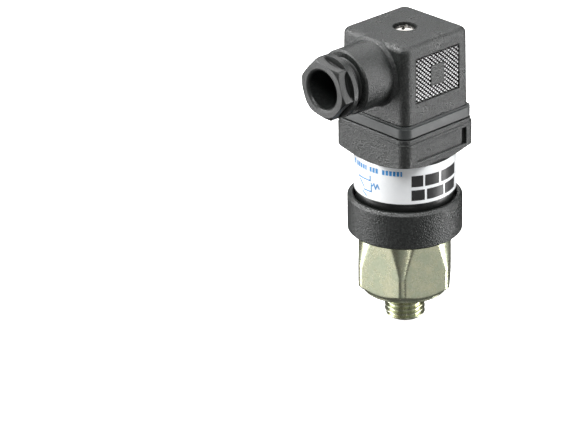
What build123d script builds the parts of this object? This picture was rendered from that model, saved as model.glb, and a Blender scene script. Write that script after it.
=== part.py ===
from build123d import *
import os

# Mechanical pressure switch. A hexagon port body holds a diaphragm, a plunger and the range
# spring. A round neck above it holds a change-over microswitch. A square cable socket with
# four flat contacts plugs on top and is held by one central screw.
# Millimetres. +Z is the switch's own axis, z = 0 is the face that seats on the machine's
# port, and the cable leaves the socket towards -Y.

os.makedirs("parts", exist_ok=True)

# ---- Clearances ----
running_gap = 0.05      # radial, a stem in its guide
thread_gap = 0.05       # radial, between a thread and its mate
seat_gap = 0.02         # between faces that part when something moves
hand_gap = 0.1          # per side, between pieces fitted by hand
free_gap = 0.3          # per side, between pieces that pass without touching
same_size = 0.01        # how near two radii are when they are the same edge

# ---- Thread form, in shares of the pitch ----
thread_depth = 0.6134
thread_flank = 0.3125
thread_run_out = 0.75
thread_crest = 0.125

# ---- Port body: hexagon, cone and threaded stud ----
hex_width = 27.0        # across flats
hex_corner_dia = 30.2   # the corners are turned down to this
hex_heading = 11.8      # degrees from +X to the first corner
hex_base_chamfer = 2.3
hex_base_rise = 2.0     # height of that chamfer
seat_dia = 25.0
seat_height = 0.8
cone_start = 9.5
cone_top_dia = 27.7
body_shoulder = 19.6    # where the hexagon ends and the collar's thread begins
body_top = 25.2
stud_dia = 12.0         # M12 x 1.5
stud_pitch = 1.5
stud_length = 9.2
stud_shoulder = 0.3     # plain length between the seat and the first ridge
passage_dia = 4.0

# ---- Pressure cell ----
chamber_dia = 17.0
chamber_floor = 3.2
cup_dia = 22.0
cup_floor = 4.6
diaphragm_thickness = 0.6
clamp_ring_height = 3.0
piston_dia = 14.6
piston_height = 2.5
piston_boss_dia = 10.0
piston_boss_height = 1.5
stem_chamfer = 0.4
stem_dia = 3.2

# ---- Range spring and its adjuster ----
spring_wire = 1.4
spring_dia = 12.6       # mean diameter
spring_length = 9.3
spring_turns = 3.75
spring_plate_dia = 14.4
spring_plate_height = 1.2
pilot_dia = 10.2
pilot_height = 0.8
adjuster_dia = 15.0     # M15 x 1
adjuster_length = 5.0
adjusting_chamfer = 0.5
key_hole_dia = 1.8
key_hole_spread = 9.6
key_hole_depth = 2.0
adjuster_plate_height = 4.0
adjuster_plate_dia = 22.8
plate_lead = 0.5        # the adjuster's lower edge hangs this far below its plate

# ---- Collar and neck ----
collar_dia = 33.9
collar_low = 19.3
collar_top = 30.8
collar_wall = 1.15
collar_rim_chamfer = 0.8
collar_base_chamfer = 0.5
collar_mouth_edge = 0.3
foot_height = 2.6
neck_dia = 28.6
neck_bore_dia = 24.6
lip_dia = 30.0
lip_height = 0.5
lip_taper = 0.4
label_low = 33.1
label_top = 44.6
label_thickness = 0.15
neck_seal_wire = 1.2
neck_seal_groove = 1.8
neck_seal_dia = 26.6

# ---- Square contact base ----
flange_width = 29.2
flange_corner = 3.0
flange_low = 46.3       # lower end of the flange's corners
flange_edge = 0.3
flange_face_cut = 0.5   # the panel's face overhangs the neck by this
flange_top = 54.7
flange_step_height = 1.4
flange_step_inset = 0.3
panel_length = 20.3
panel_height = 5.2
panel_depth = 0.6
panel_corner = 0.5
panel_shift = 0.5
slot_width = 1.3
base_floor = 3.5
spigot_dia = 25.8
spigot_length = 3.0
base_bore_dia = 24.0

# ---- Flat contacts, the same four places in every piece that they pass ----
pin_radius = 9.0
pin_width = 6.3
pin_thickness = 0.8
pin_low = 47.7
pin_height = 11.3       # above the flange
pin_tip = 0.25
line_angles = (0, 90, 180)
earth_angle = 270

# ---- Microswitch ----
switch_length = 19.8
switch_width = 6.4
switch_height = 9.6
switch_low = 32.6
switch_shift = 1.5      # the case's middle stands this far from its button
switch_wall = 1.0
button_dia = 2.4
button_out = 0.6
button_head_dia = 3.6
button_head_height = 0.9
button_post_dia = 0.8
blade_height = 36.0
blade_thickness = 0.3
blade_width = 3.0
blade_pivot = -6.9      # along X from the button
blade_reach = 9.6
contact_place = 8.8
contact_pitch = 4.5       # from one terminal to the next
strip_clearance = 0.4
contact_dia = 1.6
contact_height = 0.3
contact_gap = 1.05
terminal_thickness = 0.5
terminal_width = 2.8
terminal_top = 45.7
screw_first = -4.6      # along X from the button
screw_spread = 6.0
screw_height = 6.6      # above the case's underside
switch_screw_dia = 2.0
switch_screw_head_dia = 3.8
switch_screw_head = 1.3
switch_nut_width = 4.0
switch_nut_height = 1.6
switch_screw_slot = 0.6     # width and depth
button_round = 0.3
boss_dia = 3.8
bracket_plate = 2.0
bracket_cheek = 1.2
bracket_cheek_length = 18.0
bracket_cheek_height = 14.4
earth_strip_width = 4.0
earth_strip_place = 11.25

# ---- Central screw ----
screw_dia = 3.0
screw_head_dia = 5.8
screw_head_height = 2.2
screw_head_sunk = 0.1
screw_recess_dia = 7.1
screw_seal_height = 0.5
screw_edge = 0.5
cross_width = 0.9
cross_length = 3.6
cross_depth = 1.3
cross_heading = 20.0
cross_taper = 8.0
nut_barrel_dia = 5.6
nut_flange_dia = 6.8
nut_flange_height = 1.0

# ---- Gasket ----
gasket_width = 28.4
gasket_corner = 3.0
gasket_wall = 2.0
gasket_height = 3.8
gasket_web = 1.5
gasket_rebate_height = 0.45
gasket_rebate_depth = 0.7
gasket_screw_dia = 4.2

# ---- Socket housing ----
housing_base_width = 26.8
housing_top_width = 26.2
housing_height = 24.0
housing_corner = 2.75
housing_top_fillet = 2.0
housing_base_edge = 0.3
housing_cavity = 23.0
housing_cavity_corner = 1.4
housing_roof = 2.5
column_dia = 10.0
column_cut = 1.0        # the gland's way reaches this far into the column's edge
column_length = 7.0
grip_length = 17.7
grip_height = 13.7
grip_depth = 0.45
grip_rise = 13.0        # middle of the grip above the housing's base
grip_pad_length = 5.3
grip_pad_height = 6.1
grip_cut = grip_depth + (housing_base_width - housing_top_width) / 2    # from the base's face

# ---- Terminal insert ----
insert_height = 13.7
terminal_block_length = 7.8
terminal_block_width = 3.8
terminal_block_radius = 8.3
terminal_block_low = 2.1    # above the insert's underside
terminal_block_height = 12.6
socket_depth = 8.1
wire_hole_dia = 2.6
wire_hole_drop = 2.0
clamp_screw_dia = 2.5
clamp_screw_head_dia = 4.4
clamp_screw_head = 1.6
clamp_screw_reach = 1.8
clamp_slot_width = 0.7
clamp_slot_depth = 0.8

# ---- Cable gland ----
gland_rise = 13.7       # gland axis above the housing's base
gland_tube_dia = 19.2
gland_tube_reach = 24.5     # from the switch's axis
gland_boss_dia = 21.2
gland_boss_reach = 0.8
gland_tube_edge = 0.5
gland_bore_dia = 15.2
gland_seat_reach = 13.1
gland_way_dia = 10.0
gland_seal_length = 4.8
gland_seal_bore = 7.2
washer_bore = 9.2
washer_thickness = 0.8
gland_pitch = 1.41
nut_grip = 3.4          # length of nut thread inside the tube
nut_gap = 3.2           # open length between the tube and the nut's rim
nut_rim_dia = 18.6
nut_rim = 1.7
nut_width = 16.0        # across flats
nut_corner_dia = 18.3
nut_head = 3.7
nut_front_dia = 16.4
nut_front_chamfer = 0.7
nut_bore_dia = 11.2
nut_lip = 0.8
nut_thread_start = 0.2
nut_heading = 48.5

# ---- Heights and places worked out from the sizes above ----
diaphragm_top = cup_floor + diaphragm_thickness
piston_low = diaphragm_top + seat_gap
piston_top = piston_low + piston_height
spring_low = piston_top + seat_gap
spring_high = spring_low + spring_length
spring_plate_low = spring_high + seat_gap
spring_plate_top = spring_plate_low + spring_plate_height
adjuster_low = spring_plate_top + seat_gap
adjuster_top = adjuster_low + adjuster_length
upper_cup_floor = adjuster_low + plate_lead
upper_cup_dia = adjuster_plate_dia + 2 * hand_gap
collar_bore_dia = collar_dia - 2 * collar_wall
collar_thread_dia = collar_bore_dia - 2 * thread_gap
collar_mouth_dia = lip_dia + 2 * hand_gap
foot_top = body_top + foot_height
neck_rim_dia = lip_dia - 2 * label_thickness
base_cavity_top = flange_top - base_floor
spigot_low = label_top - spigot_length
button_tip = switch_low - button_out
stem_top = button_tip - seat_gap
switch_top = switch_low + switch_height
switch_left = switch_shift - switch_length / 2
switch_right = switch_shift + switch_length / 2
case_depth = switch_width - switch_wall
screw_line = switch_low + screw_height
pin_top = flange_top + pin_height
gasket_top = flange_top + gasket_height
housing_low = gasket_top + seat_gap
housing_top = housing_low + housing_height
cavity_top = housing_top - housing_roof
screw_head_top = housing_top - screw_head_sunk
screw_head_low = screw_head_top - screw_head_height
screw_recess_floor = screw_head_low - screw_seal_height
column_low = cavity_top - column_length
insert_low = flange_top + gasket_web + hand_gap
insert_top = insert_low + insert_height
insert_width = housing_cavity - 2 * hand_gap
block_low = insert_low + terminal_block_low
block_top = block_low + terminal_block_height
gland_height = housing_low + gland_rise
nut_thread_dia = gland_bore_dia - 2 * thread_gap
nut_back = gland_tube_reach + nut_gap
nut_end = gland_tube_reach - nut_grip
nut_front = nut_back + nut_rim + nut_head
seal_end = gland_seat_reach + gland_seal_length
washer_end = nut_end - seat_gap

# The gland's outline is drawn with x outwards along the cable and y above the gland's axis.
gland_axis = Axis((0, 0, gland_height), (0, -1, 0))
gland_section = Plane(origin=(0, 0, gland_height), x_dir=(0, -1, 0), z_dir=(-1, 0, 0))
gland_front = Plane(origin=(0, 0, gland_height), x_dir=(1, 0, 0), z_dir=(0, -1, 0))


def turn(points, plane=Plane.XZ, axis=Axis.Z, mode=Mode.ADD):
    """Turn a closed outline about an axis."""
    with BuildSketch(plane) as outline:
        with BuildLine():
            Polyline(*points, close=True)
        make_face()
    revolve(outline.sketch, axis=axis, mode=mode)


def ring(inner_dia, outer_dia, low, high, mode=Mode.ADD):
    """A ring about the switch's axis between two heights."""
    with BuildSketch(Plane.XY.offset(low)) as outline:
        Circle(outer_dia / 2)
        if inner_dia:
            Circle(inner_dia / 2, mode=Mode.SUBTRACT)
    extrude(outline.sketch, amount=high - low, mode=mode)


def gland_ring(inner_dia, outer_dia, start, end, mode=Mode.ADD):
    """A ring about the gland's axis between two distances from the switch's axis."""
    with BuildSketch(gland_front.offset(start)) as outline:
        Circle(outer_dia / 2)
        if inner_dia:
            Circle(inner_dia / 2, mode=Mode.SUBTRACT)
    extrude(outline.sketch, amount=end - start, mode=mode)


def square(width, corner, low, high, mode=Mode.ADD):
    """A square block with rounded upright edges."""
    with BuildSketch(Plane.XY.offset(low)) as outline:
        RectangleRounded(width, width, corner)
    extrude(outline.sketch, amount=high - low, mode=mode)


def slab(x_range, y_range, z_range, mode=Mode.ADD):
    """A plain block between limits along X, Y and Z."""
    with BuildSketch(Plane.XY.offset(z_range[0])) as outline:
        with Locations(((x_range[0] + x_range[1]) / 2, (y_range[0] + y_range[1]) / 2)):
            Rectangle(x_range[1] - x_range[0], y_range[1] - y_range[0])
    extrude(outline.sketch, amount=z_range[1] - z_range[0], mode=mode)


def strip(points, plane, width):
    """A bent strip of terminal sheet, its side view drawn through points on a plane."""
    with BuildSketch(plane) as outline:
        with BuildLine() as route:
            Polyline(*points)
        trace(route.line, line_width=terminal_thickness)
    extrude(outline.sketch, amount=width / 2, both=True)


def ridges(dia, pitch, start, count, step):
    """Outline points of a thread's ridges, each half a ridge's flanks and a narrow crest.

    The ridges are closed rings. step is +1 or -1, the way that they follow one another.
    """
    root = dia / 2 - thread_depth * pitch
    flank = thread_flank * pitch
    crest = thread_crest * pitch
    points = []
    for index in range(count):
        place = start + step * index * pitch
        points += [
            (root, place),
            (dia / 2, place + step * flank),
            (dia / 2, place + step * (flank + crest)),
            (root, place + step * (2 * flank + crest)),
        ]
    return points


def contact_slots(angles, length, width, radius, low, high, mode=Mode.ADD):
    """Upright blocks that stand square to the radius at the contacts' places."""
    with BuildSketch(Plane.XY.offset(low)) as outline:
        for angle in angles:
            with PolarLocations(radius, 1, start_angle=angle):
                Rectangle(width, length)
    extrude(outline.sketch, amount=high - low, mode=mode)


def save(part, label):
    """Label a finished piece and write it to its own file."""
    part.label = label
    export_step(part, f"parts/{label}.step")


# ==== Pressure port ====

with BuildPart() as port_body:
    with BuildSketch(Plane.XY.offset(seat_height)):
        RegularPolygon(hex_width / 2, 6, major_radius=False, rotation=hex_heading)
    extrude(amount=body_shoulder - seat_height)
    corner = hex_corner_dia / 2
    turn(
        [
            (0, seat_height),
            (corner - hex_base_chamfer, seat_height),
            (corner, seat_height + hex_base_rise),
            (corner, cone_start),
            (cone_top_dia / 2, collar_low),
            (cone_top_dia / 2, body_shoulder),
            (0, body_shoulder),
        ],
        mode=Mode.INTERSECT,
    )
    ring(0, collar_thread_dia, body_shoulder, body_top)
    ring(0, seat_dia, 0, seat_height)
    stud_root = stud_dia / 2 - thread_depth * stud_pitch
    stud_count = int((stud_length - stud_shoulder - thread_run_out * stud_pitch) / stud_pitch) + 1
    turn(
        [(0, 0), (stud_dia / 2, 0), (stud_dia / 2, -stud_shoulder)]
        + ridges(stud_dia, stud_pitch, -stud_shoulder, stud_count, -1)
        + [(stud_root, -stud_length + hand_gap), (stud_root - hand_gap, -stud_length), (0, -stud_length)]
    )
    turn(
        [
            (0, -stud_length),
            (passage_dia / 2, -stud_length),
            (passage_dia / 2, chamber_floor),
            (chamber_dia / 2, chamber_floor),
            (chamber_dia / 2, cup_floor),
            (cup_dia / 2, cup_floor),
            (cup_dia / 2, upper_cup_floor),
            (upper_cup_dia / 2, upper_cup_floor),
            (upper_cup_dia / 2, body_top),
            (0, body_top),
        ],
        mode=Mode.SUBTRACT,
    )
    ring(
        neck_seal_dia - neck_seal_groove,
        neck_seal_dia + neck_seal_groove,
        body_top - neck_seal_wire,
        body_top,
        mode=Mode.SUBTRACT,
    )
save(port_body.part, "port_body")

with BuildPart() as diaphragm:
    ring(0, cup_dia - 2 * hand_gap, cup_floor, diaphragm_top)
save(diaphragm.part, "diaphragm")

with BuildPart() as diaphragm_ring:
    ring(piston_dia + 2 * free_gap, cup_dia - 2 * hand_gap, diaphragm_top, diaphragm_top + clamp_ring_height)
save(diaphragm_ring.part, "diaphragm_ring")

with BuildPart() as plunger:
    ring(0, piston_dia, piston_low, piston_top)
    ring(0, piston_boss_dia, piston_top, piston_top + piston_boss_height)
    ring(0, stem_dia, piston_top + piston_boss_height, stem_top)
    chamfer(plunger.edges().group_by(Axis.Z)[-1], stem_chamfer)
save(plunger.part, "plunger")

with BuildPart() as range_spring:
    coil_height = spring_length - spring_wire
    with BuildLine() as coil:
        Helix(
            pitch=coil_height / spring_turns,
            height=coil_height,
            radius=spring_dia / 2,
            center=(0, 0, spring_low + spring_wire / 2),
        )
    with BuildSketch(Plane(origin=coil.line @ 0, z_dir=coil.line % 0)):
        Circle(spring_wire / 2)
    sweep(path=coil.line, is_frenet=True)
save(range_spring.part, "range_spring")

with BuildPart() as spring_plate:
    stem_way = stem_dia + 2 * free_gap
    ring(stem_way, spring_plate_dia, spring_plate_low, spring_plate_top)
    ring(stem_way, pilot_dia, spring_plate_low - pilot_height, spring_plate_low)
save(spring_plate.part, "spring_plate")

with BuildPart() as adjusting_screw:
    ring(stem_way, adjuster_dia, adjuster_low, adjuster_top)
    chamfer(adjusting_screw.faces().sort_by(Axis.Z)[-1].outer_wire().edges(), adjusting_chamfer)
    with BuildSketch(Plane.XY.offset(adjuster_top)):
        with GridLocations(key_hole_spread, 0, 2, 1):
            Circle(key_hole_dia / 2)
    extrude(amount=-key_hole_depth, mode=Mode.SUBTRACT)
save(adjusting_screw.part, "adjusting_screw")

with BuildPart() as adjuster_plate:
    ring(
        adjuster_dia + 2 * thread_gap,
        adjuster_plate_dia,
        upper_cup_floor,
        upper_cup_floor + adjuster_plate_height,
    )
save(adjuster_plate.part, "adjuster_plate")

# ==== Neck and collar ====

with BuildPart() as neck_seal:
    with BuildSketch(Plane.XZ):
        with Locations((neck_seal_dia / 2, body_top - neck_seal_wire / 2)):
            Circle(neck_seal_wire / 2)
    revolve(axis=Axis.Z)
save(neck_seal.part, "neck_seal")

with BuildPart() as clamp_collar:
    outer = collar_dia / 2
    turn(
        [
            (collar_bore_dia / 2, collar_low),
            (outer - collar_base_chamfer, collar_low),
            (outer, collar_low + collar_base_chamfer),
            (outer, collar_top - collar_rim_chamfer),
            (outer - collar_rim_chamfer, collar_top),
            (collar_mouth_dia / 2 + collar_mouth_edge, collar_top),
            (collar_mouth_dia / 2, collar_top - collar_mouth_edge),
            (collar_mouth_dia / 2, foot_top + hand_gap),
            (collar_bore_dia / 2, foot_top + hand_gap),
        ]
    )
save(clamp_collar.part, "clamp_collar")

with BuildPart() as neck_sleeve:
    turn(
        [
            (neck_bore_dia / 2, body_top),
            (collar_thread_dia / 2, body_top),
            (collar_thread_dia / 2, foot_top),
            (neck_dia / 2, foot_top),
            (neck_dia / 2, label_low - lip_height - lip_taper),
            (lip_dia / 2, label_low - lip_height),
            (lip_dia / 2, label_low),
            (neck_rim_dia / 2, label_low),
            (neck_rim_dia / 2, label_top),
            (spigot_dia / 2 + hand_gap, label_top),
            (spigot_dia / 2 + hand_gap, spigot_low),
            (neck_bore_dia / 2, spigot_low),
        ]
    )
save(neck_sleeve.part, "neck_sleeve")

with BuildPart() as type_label:
    ring(neck_rim_dia, lip_dia, label_low, label_top)
save(type_label.part, "type_label")

# ==== Microswitch and its bracket ====

screw_places = [screw_first, screw_first + screw_spread]
side_front = Plane(origin=(0, -switch_width / 2, 0), x_dir=(1, 0, 0), z_dir=(0, -1, 0))
side_back = Plane(origin=(0, switch_width / 2, 0), x_dir=(-1, 0, 0), z_dir=(0, 1, 0))

with BuildPart() as switch_bracket:
    bracket_top = body_top + bracket_plate
    ring(stem_dia + 2 * running_gap, neck_bore_dia - 2 * hand_gap, body_top, bracket_top)
    for side in (-1, 1):
        near = side * switch_width / 2
        far = side * (switch_width / 2 + bracket_cheek)
        slab(
            (switch_shift - bracket_cheek_length / 2, switch_shift + bracket_cheek_length / 2),
            (min(near, far), max(near, far)),
            (bracket_top, bracket_top + bracket_cheek_height),
        )
    with BuildSketch(Plane.XZ):
        with Locations(*[(place, screw_line) for place in screw_places]):
            Circle(switch_screw_dia / 2 + thread_gap)
    extrude(amount=switch_width, both=True, mode=Mode.SUBTRACT)
save(switch_bracket.part, "switch_bracket")

with BuildPart() as switch_case:
    slab(
        (switch_left, switch_right),
        (-switch_width / 2, switch_width / 2 - switch_wall),
        (switch_low, switch_top),
    )
    slab(
        (switch_left + switch_wall, switch_right - switch_wall),
        (-switch_width / 2 + switch_wall, switch_width / 2 - switch_wall),
        (switch_low + switch_wall, switch_top - switch_wall),
        mode=Mode.SUBTRACT,
    )
    with BuildSketch(side_front):
        with Locations(*[(place, screw_line) for place in screw_places]):
            Circle(boss_dia / 2)
    extrude(amount=-case_depth)
    with BuildSketch(side_front):
        with Locations(*[(place, screw_line) for place in screw_places]):
            Circle(switch_screw_dia / 2 + thread_gap)
    extrude(amount=-switch_width, mode=Mode.SUBTRACT)
    ring(0, button_dia + 2 * running_gap, switch_low, switch_low + switch_wall, mode=Mode.SUBTRACT)
    common_place = blade_pivot - terminal_thickness / 2
    normally_closed_place = switch_right - switch_wall - terminal_thickness / 2
    normally_open_place = contact_place - contact_pitch
    for place in (common_place, normally_closed_place, normally_open_place):
        slab(
            (place - terminal_thickness / 2, place + terminal_thickness / 2),
            (-terminal_width / 2, terminal_width / 2),
            (switch_top - switch_wall, switch_top),
            mode=Mode.SUBTRACT,
        )
save(switch_case.part, "switch_case")

with BuildPart() as switch_cover:
    slab(
        (switch_left, switch_right),
        (switch_width / 2 - switch_wall, switch_width / 2),
        (switch_low, switch_top),
    )
    with BuildSketch(side_back):
        with Locations(*[(-place, screw_line) for place in screw_places]):
            Circle(switch_screw_dia / 2 + thread_gap)
    extrude(amount=-switch_wall, mode=Mode.SUBTRACT)
save(switch_cover.part, "switch_cover")

with BuildPart() as switch_button:
    head_low = switch_low + switch_wall + seat_gap
    head_top = head_low + button_head_height
    ring(0, button_dia, button_tip, head_low)
    ring(0, button_head_dia, head_low, head_top)
    ring(0, button_post_dia, head_top, blade_height - running_gap)
    fillet(switch_button.edges().group_by(Axis.Z)[0], button_round)
save(switch_button.part, "switch_button")

blade_top = blade_height + blade_thickness
with BuildPart() as snap_blade:
    slab(
        (blade_pivot + seat_gap, blade_reach),
        (-blade_width / 2, blade_width / 2),
        (blade_height, blade_top),
    )
    with BuildSketch(Plane.XY.offset(blade_height - contact_height)):
        with Locations((contact_place, 0)):
            Circle(contact_dia / 2)
    extrude(amount=blade_thickness + 2 * contact_height)
save(snap_blade.part, "snap_blade")

# Each terminal is one strip: it starts at its contact, leaves through the case's roof and ends
# on the inner face of a flat contact, or on the link that crosses to one.
link_inner = pin_radius - pin_thickness / 2 - terminal_thickness / 2
strip_end = base_cavity_top - strip_clearance

with BuildPart() as common_terminal:
    strip(
        [
            (common_place, switch_low + switch_wall + hand_gap),
            (common_place, terminal_top),
            (-link_inner, terminal_top + link_inner + common_place),
            (-link_inner, strip_end),
        ],
        Plane.XZ,
        terminal_width,
    )
save(common_terminal.part, "common_terminal")

closed_contact_top = blade_height - contact_height - seat_gap
closed_strip = closed_contact_top - contact_height - terminal_thickness / 2
with BuildPart() as normally_closed_terminal:
    strip(
        [
            (contact_place - contact_dia / 2, closed_strip),
            (normally_closed_place, closed_strip),
            (normally_closed_place, terminal_top),
            (link_inner, terminal_top + normally_closed_place - link_inner),
            (link_inner, strip_end),
        ],
        Plane.XZ,
        terminal_width,
    )
    with BuildSketch(Plane.XY.offset(closed_strip)):
        with Locations((contact_place, 0)):
            Circle(contact_dia / 2)
    extrude(amount=closed_contact_top - closed_strip)
save(normally_closed_terminal.part, "normally_closed_terminal")

open_contact_low = blade_top + contact_height + contact_gap
open_strip = open_contact_low + contact_height + terminal_thickness / 2
with BuildPart() as normally_open_terminal:
    strip(
        [
            (contact_place + contact_dia / 2, open_strip),
            (normally_open_place, open_strip),
            (normally_open_place, terminal_top),
        ],
        Plane.XZ,
        terminal_width,
    )
    with BuildSketch(Plane.XY.offset(open_contact_low)):
        with Locations((contact_place, 0)):
            Circle(contact_dia / 2)
    extrude(amount=open_strip - open_contact_low)
save(normally_open_terminal.part, "normally_open_terminal")

with BuildPart() as link_strip:
    half = terminal_width / 2
    riser = pin_radius - pin_thickness / 2
    link_low = terminal_top
    link_top = terminal_top + terminal_thickness
    slab((normally_open_place - half, normally_open_place + half), (-half, riser), (link_low, link_top))
    slab((-half, normally_open_place + half), (riser - terminal_width, riser), (link_low, link_top))
    slab((-half, half), (riser - terminal_thickness, riser), (link_low, strip_end))
save(link_strip.part, "link_strip")

with BuildPart() as earth_strip:
    earth_outer = pin_radius + pin_thickness / 2 + terminal_thickness / 2
    jog = earth_strip_place - earth_outer
    strip(
        [
            (-earth_strip_place, body_top + bracket_plate),
            (-earth_strip_place, pin_low - jog),
            (-earth_outer, pin_low),
            (-earth_outer, strip_end),
        ],
        Plane.YZ,
        earth_strip_width,
    )
save(earth_strip.part, "earth_strip")

screw_face = switch_width / 2 + bracket_cheek
with BuildPart() as switch_screws:
    with BuildSketch(Plane.XZ.offset(screw_face)):
        with Locations(*[(place, screw_line) for place in screw_places]):
            Circle(switch_screw_head_dia / 2)
    extrude(amount=switch_screw_head)
    with BuildSketch(Plane.XZ.offset(screw_face)):
        with Locations(*[(place, screw_line) for place in screw_places]):
            Circle(switch_screw_dia / 2)
    extrude(amount=-(2 * screw_face + switch_nut_height))
    with BuildSketch(Plane.XZ.offset(screw_face + switch_screw_head)):
        with Locations(*[(place, screw_line) for place in screw_places]):
            Rectangle(switch_screw_head_dia, switch_screw_slot)
    extrude(amount=-switch_screw_slot, mode=Mode.SUBTRACT)
save(switch_screws.part, "switch_screws")

with BuildPart() as switch_nuts:
    with BuildSketch(Plane.XZ.offset(-screw_face)):
        with Locations(*[(place, screw_line) for place in screw_places]):
            RegularPolygon(switch_nut_width / 2, 6, major_radius=False)
            Circle(switch_screw_dia / 2 + thread_gap, mode=Mode.SUBTRACT)
    extrude(amount=-switch_nut_height)
save(switch_nuts.part, "switch_nuts")

# ==== Square contact base ====

with BuildPart() as contact_base:
    step_low = flange_top - flange_step_height
    square(flange_width, flange_corner, label_top, step_low)
    square(flange_width - 2 * flange_step_inset, flange_corner, step_low, flange_top)
    corner = (flange_width / 2 - flange_corner) * 2 ** 0.5 + flange_corner
    turn(
        [
            (0, label_top),
            (lip_dia / 2, label_top),
            (corner, flange_low),
            (flange_width, flange_low),
            (flange_width, flange_top),
            (0, flange_top),
        ],
        mode=Mode.INTERSECT,
    )
    fillet(contact_base.edges().group_by(Axis.Z)[-1], flange_edge)
    slab(
        (flange_width / 2 - flange_face_cut, flange_width),
        (-flange_width, flange_width),
        (label_top, flange_low),
        mode=Mode.SUBTRACT,
    )
    ring(base_bore_dia, spigot_dia, spigot_low, label_top)
    ring(0, base_bore_dia, label_top, base_cavity_top, mode=Mode.SUBTRACT)
    ring(0, nut_barrel_dia, base_cavity_top, flange_top, mode=Mode.SUBTRACT)
    contact_slots(
        (*line_angles, earth_angle),
        pin_width,
        pin_thickness,
        pin_radius,
        base_cavity_top,
        flange_top,
        mode=Mode.SUBTRACT,
    )
    panel_middle = (flange_low + step_low) / 2
    panel_plane = Plane(origin=(flange_width / 2, 0, panel_middle), x_dir=(0, 1, 0), z_dir=(1, 0, 0))
    with BuildSketch(panel_plane):
        with Locations((panel_shift, 0)):
            RectangleRounded(panel_length, panel_height, panel_corner)
    extrude(amount=-panel_depth, mode=Mode.SUBTRACT)
    with BuildSketch(panel_plane):
        with Locations((panel_shift + panel_length / 2 - slot_width / 2, 0)):
            Rectangle(slot_width, panel_height)
    extrude(amount=-2 * panel_depth, mode=Mode.SUBTRACT)
save(contact_base.part, "contact_base")


def flat_contacts(angles):
    """Flat contacts with tapered tips at the given angles."""
    contact_slots(angles, pin_width, pin_thickness, pin_radius, pin_low, pin_top)


with BuildPart() as contact_pins:
    flat_contacts(line_angles)
    chamfer(contact_pins.faces().group_by(Axis.Z)[-1].edges(), pin_tip)
save(contact_pins.part, "contact_pins")

with BuildPart() as earth_pin:
    flat_contacts((earth_angle,))
    chamfer(earth_pin.faces().group_by(Axis.Z)[-1].edges(), pin_tip)
save(earth_pin.part, "earth_pin")

with BuildPart() as base_nut:
    nut_bore = screw_dia + 2 * thread_gap
    ring(nut_bore, nut_barrel_dia, base_cavity_top, flange_top)
    ring(nut_bore, nut_flange_dia, base_cavity_top - nut_flange_height, base_cavity_top)
save(base_nut.part, "base_nut")

with BuildPart() as profile_gasket:
    square(
        gasket_width,
        gasket_corner,
        flange_top + gasket_rebate_height,
        gasket_top - gasket_rebate_height,
    )
    square(
        gasket_width - 2 * gasket_rebate_depth,
        gasket_corner - gasket_rebate_depth,
        flange_top,
        gasket_top,
    )
    inner_corner = gasket_corner - gasket_wall
    square(
        gasket_width - 2 * gasket_wall,
        inner_corner,
        flange_top + gasket_web,
        gasket_top,
        mode=Mode.SUBTRACT,
    )
    ring(0, gasket_screw_dia, flange_top, gasket_top, mode=Mode.SUBTRACT)
    contact_slots(
        (*line_angles, earth_angle),
        pin_width + 2 * free_gap,
        pin_thickness + 2 * free_gap,
        pin_radius,
        flange_top,
        gasket_top,
        mode=Mode.SUBTRACT,
    )
save(profile_gasket.part, "profile_gasket")

# ==== Cable socket ====

with BuildPart() as connector_housing:
    with BuildSketch(Plane.XY.offset(housing_low)):
        RectangleRounded(housing_base_width, housing_base_width, housing_corner)
    with BuildSketch(Plane.XY.offset(housing_top)):
        RectangleRounded(housing_top_width, housing_top_width, housing_corner)
    loft()
    fillet(connector_housing.edges().group_by(Axis.Z)[-1], housing_top_fillet)
    chamfer(connector_housing.edges().group_by(Axis.Z)[0], housing_base_edge)
    wall_face = housing_top_width / 2
    boss_foot = wall_face - housing_corner
    turn(
        [
            (boss_foot, 0),
            (gland_tube_reach, 0),
            (gland_tube_reach, gland_tube_dia / 2 - gland_tube_edge),
            (gland_tube_reach - gland_tube_edge, gland_tube_dia / 2),
            (wall_face + gland_boss_reach, gland_tube_dia / 2),
            (wall_face, gland_boss_dia / 2),
            (boss_foot, gland_boss_dia / 2),
        ],
        plane=gland_section,
        axis=gland_axis,
    )
    split(bisect_by=Plane.XY.offset(housing_top), keep=Keep.BOTTOM)
    square(housing_cavity, housing_cavity_corner, housing_low, cavity_top, mode=Mode.SUBTRACT)
    ring(0, column_dia, column_low, cavity_top)
    ring(0, screw_recess_dia, screw_recess_floor, housing_top, mode=Mode.SUBTRACT)
    ring(0, screw_dia + 2 * free_gap, column_low, screw_recess_floor, mode=Mode.SUBTRACT)
    gland_ring(0, gland_bore_dia, gland_seat_reach, gland_tube_reach, mode=Mode.SUBTRACT)
    gland_ring(0, gland_way_dia, column_dia / 2 + column_cut, gland_seat_reach, mode=Mode.SUBTRACT)
    for side in (-1, 1):
        grip_plane = Plane(
            origin=(side * housing_base_width / 2, 0, housing_low + grip_rise),
            x_dir=(0, side, 0),
            z_dir=(side, 0, 0),
        )
        with BuildSketch(grip_plane):
            Rectangle(grip_length, grip_height)
            Rectangle(grip_pad_length, grip_pad_height, mode=Mode.SUBTRACT)
        extrude(amount=-grip_cut, mode=Mode.SUBTRACT)
save(connector_housing.part, "connector_housing")

all_angles = (*line_angles, earth_angle)
with BuildPart() as terminal_insert:
    square(insert_width, housing_cavity_corner, insert_low, insert_top)
    contact_slots(
        all_angles,
        pin_width + 2 * free_gap,
        pin_thickness + 2 * free_gap,
        pin_radius,
        insert_low,
        block_low,
        mode=Mode.SUBTRACT,
    )
    contact_slots(
        all_angles,
        terminal_block_length + 2 * hand_gap,
        terminal_block_width + 2 * hand_gap,
        terminal_block_radius,
        block_low,
        insert_top,
        mode=Mode.SUBTRACT,
    )
    ring(0, screw_dia + 2 * free_gap, insert_low, insert_top, mode=Mode.SUBTRACT)
save(terminal_insert.part, "terminal_insert")


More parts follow.
